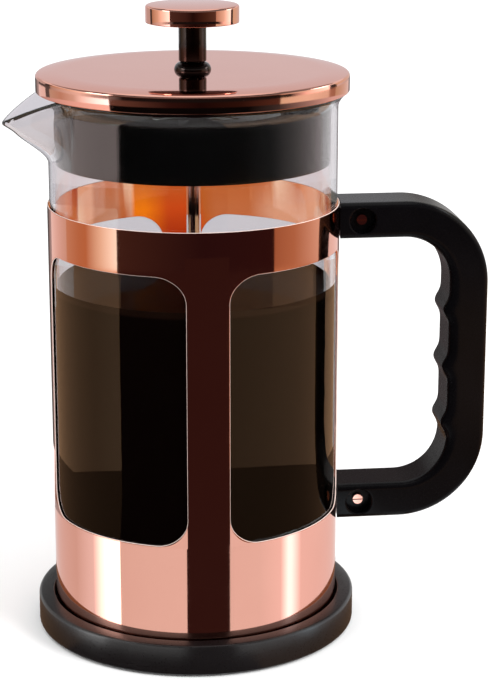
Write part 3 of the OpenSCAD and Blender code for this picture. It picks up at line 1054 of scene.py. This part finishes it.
# Seen in the lower band only: a bright edge on the left and a soft one on the right
card("low_front", (78, 1, 0), (78, 34.9, 10), [
    (-150, 0.84), (-120, 0.8), (-85, (0.76, 0.7, 0.67)), (-68, (1.0, 1.05, 1.1)), (-58, 3.2), (-48, 3.4),
    (-47.9, (0.88, 0.86, 0.84)), (30, 0.96), (44, (1.1, 1.08, 1.1)), (50, (2.2, 2.5, 2.7)),
    (52.5, (2.0, 2.3, 2.5)), (60, (1.05, 1.02, 1.04)), (110, 0.9), (150, 0.92),
])


def corner_light(side, colour):
    """The lower band's light, carried up round a window's lower corner next to the front strap: the space
    between the corner's arc and the strap's edge, a little outside the sheet."""
    r, shift, drop, below = 52.2, 0.25, 0.3, 0.8
    corner, low, frame_r = WINDOW_CORNER / MM, 45, 51.5
    points = []
    for k in range(13):
        across = corner * (k / 12) ** 2
        arc_z = low + corner - math.sqrt(max(0.0, corner ** 2 - (corner - across) ** 2))
        a = math.asin(STRAP_W / MM / 2 / frame_r) + (across + shift) / frame_r
        for z in (low - below, arc_z - drop):
            points.append((side * r * math.sin(a) * MM, -r * math.cos(a) * MM, z * MM))
    mesh = lit_mesh("corner_light", points, strip_faces(13), [rgb(colour)] * len(points), GLOW)
    unseen("corner_light", mesh, ("glossy",))


corner_light(-1, (0.88, 0.86, 0.84))
corner_light(1, 0.95)
card("dark_strip", (77, 1, 0), (77, 140, 0), [(-9.9, DIM), (12.8, DIM)])


def low_view(side):
    """A view low down: dark in front, and one colour on both sides."""
    return [(-150, side), (LEFT, side), (FRONT, DIM), (LOW_RIGHT, DIM), (LOW_BEYOND, side), (150, side)]


# The floor as the base, the glass and the handle mirror it
FLOOR_VIEW = low_view(HALF_WARM)
card("floor_near", (57.5, 0, 0), (92, 0, 0), FLOOR_VIEW)
card("floor_middle", (92, 0, 0), (150, 0, 0), [
    (-150, 0.4), (LEFT, 0.5), (FRONT, 0.25), (20, 0.25), (60, 0.9), (100, 1.2), (150, 0.6),
])
card("floor_behind", (57.5, 0, 0), FLOOR_END, [(150, HALF_WARM), (176, HALF_WARM)])
card("floor_far", (150, 0, 0), FLOOR_END, FLOOR_VIEW)
card("floor_through", (57.5, 0, 0), (214, 0, 0), FLOOR_VIEW, ("transmission",))
# Seen in the windows' glass and the straps
card("windows_low", FLOOR_END, WINDOWS_FOOT, FLOOR_VIEW)
card("windows_front", WINDOWS_FOOT, SHOULDER_FOOT, [
    (-160, WARM), (-84, WARM), (LEFT, BRIGHT_WARM), (FRONT, DIM), (LOW_RIGHT, DIM), (LOW_BEYOND, WARM),
    (60, (0.75, 0.43, 0.24)), (139, WARM),
])
card("shoulder_front", SHOULDER_FOOT, BAND_FOOT, [
    (-140, WARM), (-84, WARM), (LEFT, BRIGHT_WARM), (FRONT, DIM), (RIGHT, DIM), (BEYOND, (0.55, 0.3, 0.16)),
    (139, WARM),
])
# Seen in the upper band
card("band_front", BAND_FOOT, BAND_HEAD, [
    (-180, 0.9), (-140, 0.95), (-122, (0.8, 0.74, 0.7)), (-112, (0.72, 0.62, 0.54)),
    (-111, (0.64, 0.42, 0.27)), (-96, (0.56, 0.29, 0.145)), (-88, (0.56, 0.27, 0.12)),
    (-74, (0.95, 0.9, 0.7)), (LEFT, (1.3, 1.6, 1.5)), (FRONT, (0.055, 0.027, 0.02)),
    (0, (0.024, 0.009, 0.01)), (RIGHT, (0.03, 0.01, 0.01)), (BEYOND, (0.42, 0.2, 0.1)),
    (70, (0.52, 0.28, 0.15)), (98, (0.8, 0.64, 0.5)), (101, (0.6, 0.32, 0.24)), (109, (0.36, 0.18, 0.13)),
    (110, 0.9), (142, 0.95),
])
# Seen in the plastic insert, through the glass as well
INSERT_VIEW = [
    (-150, (0.3, 0.27, 0.27)), (-128, (0.6, 0.5, 0.48)), (-90, (0.95, 0.78, 0.75)), (LEFT, (1.2, 0.98, 0.94)),
    (FRONT, BLACK), (30, BLACK), (RIGHT, 0.05), (80, (0.42, 0.37, 0.36)), (105, (0.8, 0.7, 0.7)), (150, 0.8),
]
card("gap_front", BAND_HEAD, INSERT_FOOT, [
    (-150, (0.12, 0.1, 0.09)), (LEFT, (0.2, 0.16, 0.15)), (FRONT, BLACK), (RIGHT, 0.05), (105, 0.6),
    (150, 0.6),
])
card("insert_front", INSERT_FOOT, INSERT_HEAD, INSERT_VIEW, ("glossy", "transmission"))
card("coffee_view", (214, 0, 0), (214, 135, 9), low_view(WARM), ("transmission",))
# Seen in the lid's rim
card("lid_front", INSERT_HEAD, LID_HEAD, [
    (-150, 0.9), (-127, 0.9), (-126, 0.12), (-120, 0.12), (-119, (0.6, 0.55, 0.45)),
    (-104, (0.6, 0.44, 0.34)), (-90, (0.78, 0.7, 0.62)), (-74, (1.6, 1.75, 1.85)), (LEFT, (2.1, 2.6, 2.9)),
    (FRONT, (0.15, 0.09, 0.07)), (-20, (0.03, 0.012, 0.01)), (0, (0.013, 0.005, 0.004)),
    (25, (0.03, 0.012, 0.008)), (RIGHT, (0.1, 0.045, 0.03)), (BEYOND, (0.85, 0.78, 0.58)),
    (75, (1.0, 0.92, 0.76)), (98, (0.86, 0.76, 0.62)), (101, (0.45, 0.28, 0.2)), (108, (0.4, 0.24, 0.16)),
    (109, (0.6, 0.5, 0.35)), (150, 0.9),
])
# Seen in the stem
card("stem_front", LID_HEAD, STEM_HEAD, [
    (-150, 0.1), (-119, 0.1), (-116, (0.5, 0.45, 0.4)), (-84, (1.0, 0.95, 0.9)), (LEFT, 0.25), (-50, 0.01),
    (60, 0.01), (75, (1.3, 1.0, 0.9)), (98, (2.2, 1.8, 1.7)), (101, 0.05), (110, 0.05), (111, 0.8),
    (150, 0.4),
])
# Seen in the knob's rim
card("knob_front", STEM_HEAD, KNOB_HEAD, [
    (-150, 0.6), (-127, 0.6), (-125, 0.05), (-119, 0.05), (-116, (0.55, 0.4, 0.26)),
    (-96, (0.85, 0.72, 0.55)), (-76, (1.5, 1.4, 1.3)), (LEFT, 2.1), (FRONT, (0.08, 0.045, 0.034)),
    (-20, (0.05, 0.025, 0.02)), (-4, (0.02, 0.008, 0.006)), (6, (0.035, 0.014, 0.01)),
    (28, (0.07, 0.035, 0.022)), (RIGHT, (0.12, 0.07, 0.05)), (BEYOND, (0.6, 0.42, 0.3)),
    (75, (1.0, 0.9, 0.74)), (98, 2.0), (101, 0.05), (108, 0.05), (109, (0.8, 0.7, 0.5)), (150, 0.7),
])
# A thin light line on rounded rims, and the dark and the two lights above it
card("rim_light", KNOB_HEAD, RIM_HEAD, [
    (-150, 0.9), (-84, 1.0), (-80, 7), (-64, 7), (LEFT, 0.4), (RIGHT, 0.4), (84, 0.6), (88, 5), (104, 5),
    (108, 0.9), (150, 0.9),
])
card("upper_front", RIM_HEAD, SKY, [
    (-150, 0.5), (-100, 0.2), (LEFT, 0.06), (RIGHT, 0.06), (90, 0.2), (150, 0.5),
])
# Seen in the inner faces of the upper band and the back strap: (degrees, colour low, in the middle, high)
DEEP, RED = (0.45, 0.04, 0.01), (0.9, 0.2, 0.03)
AMBER, BRONZE, CLAY = (1.35, 0.62, 0.02), (0.75, 0.34, 0.08), (0.8, 0.42, 0.17)
ROSE, PEACH, PALE = (0.72, 0.51, 0.33), (1.05, 0.95, 0.72), (1.25, 1.5, 1.25)
INNER_BAND = [
    (84, RED, CLAY, PEACH), (90, CLAY, DEEP, CLAY), (96, PALE, PEACH, DEEP), (100, RED, CLAY, PALE),
    (105, PEACH, PALE, CLAY), (110, CLAY, PEACH, PEACH), (116, PALE, PEACH, PEACH), (124, PEACH, PEACH, CLAY),
    (136, PEACH, PEACH, PALE), (140, CLAY, PEACH, CLAY), (150, CLAY, CLAY, BRONZE),
    (165, BRONZE, CLAY, BRONZE), (170, RED, BRONZE, BRONZE), (174, DEEP, RED, BRONZE),
    (186, DEEP, RED, BRONZE), (196, RED, AMBER, BRONZE), (201, RED, AMBER, BRONZE), (203, DEEP, PEACH, PALE),
    (206, DEEP, CLAY, PALE), (207.5, CLAY, CLAY, ROSE), (209.5, PALE, ROSE, ROSE), (213.5, PEACH, ROSE, CLAY),
    (222, ROSE, ROSE, ROSE), (225, PEACH, PEACH, PEACH), (228, ROSE, PEACH, PEACH), (233, PEACH, PALE, PEACH),
    (236, CLAY, BRONZE, DEEP), (242, CLAY, CLAY, CLAY), (256, BRONZE, CLAY, BRONZE),
    (264, BRONZE, BRONZE, BRONZE),
]
card("band_inside_low", (INSIDE_R, 127, 0), (INSIDE_R, 142, 0),
     [(a, low, middle) for a, low, middle, _ in INNER_BAND], ("glossy",), OUTWARD_GLOW)
card("band_inside_high", (INSIDE_R, 142, 0), (INSIDE_R, 154.6, 0),
     [(a, middle, high) for a, _, middle, high in INNER_BAND], ("glossy",), OUTWARD_GLOW)
card("strap_inside", (INSIDE_R, 50, 0), (INSIDE_R, 127, 0), [
    (171.9, (0.05, 0.01, 0.005), DEEP), (188.1, (0.05, 0.01, 0.005), DEEP),
], ("glossy",), OUTWARD_GLOW)
BEHIND = (0.71, 0.715, 0.745)
card("behind", (900, 0, 0), (900, 700, 0), [(140, 0.5), (150, BEHIND), (210, BEHIND), (220, 0.5)])
# Behind the press: a dark reach on each side, which the base and the handle mirror
card("low_behind", (214, 0, 0), (214, 180, 0), [
    (140, 0.5), (145, (0.19, 0.15, 0.15)), (176, (0.19, 0.15, 0.15)), (178.5, 0.8), (181.5, 0.8), (185, 0.1),
    (206, 0.1), (218, 0.5),
])
# What shows through the glass: a shade greyer than the backdrop
card("through", (100, 0, 0), (100, 420, 0), [
    (95, 1.0), (125, (0.76, 0.74, 0.79)), (235, (0.76, 0.74, 0.79)), (265, 1.0),
], ("transmission",))

camera()
bpy.context.scene.view_settings.view_transform = "Standard"
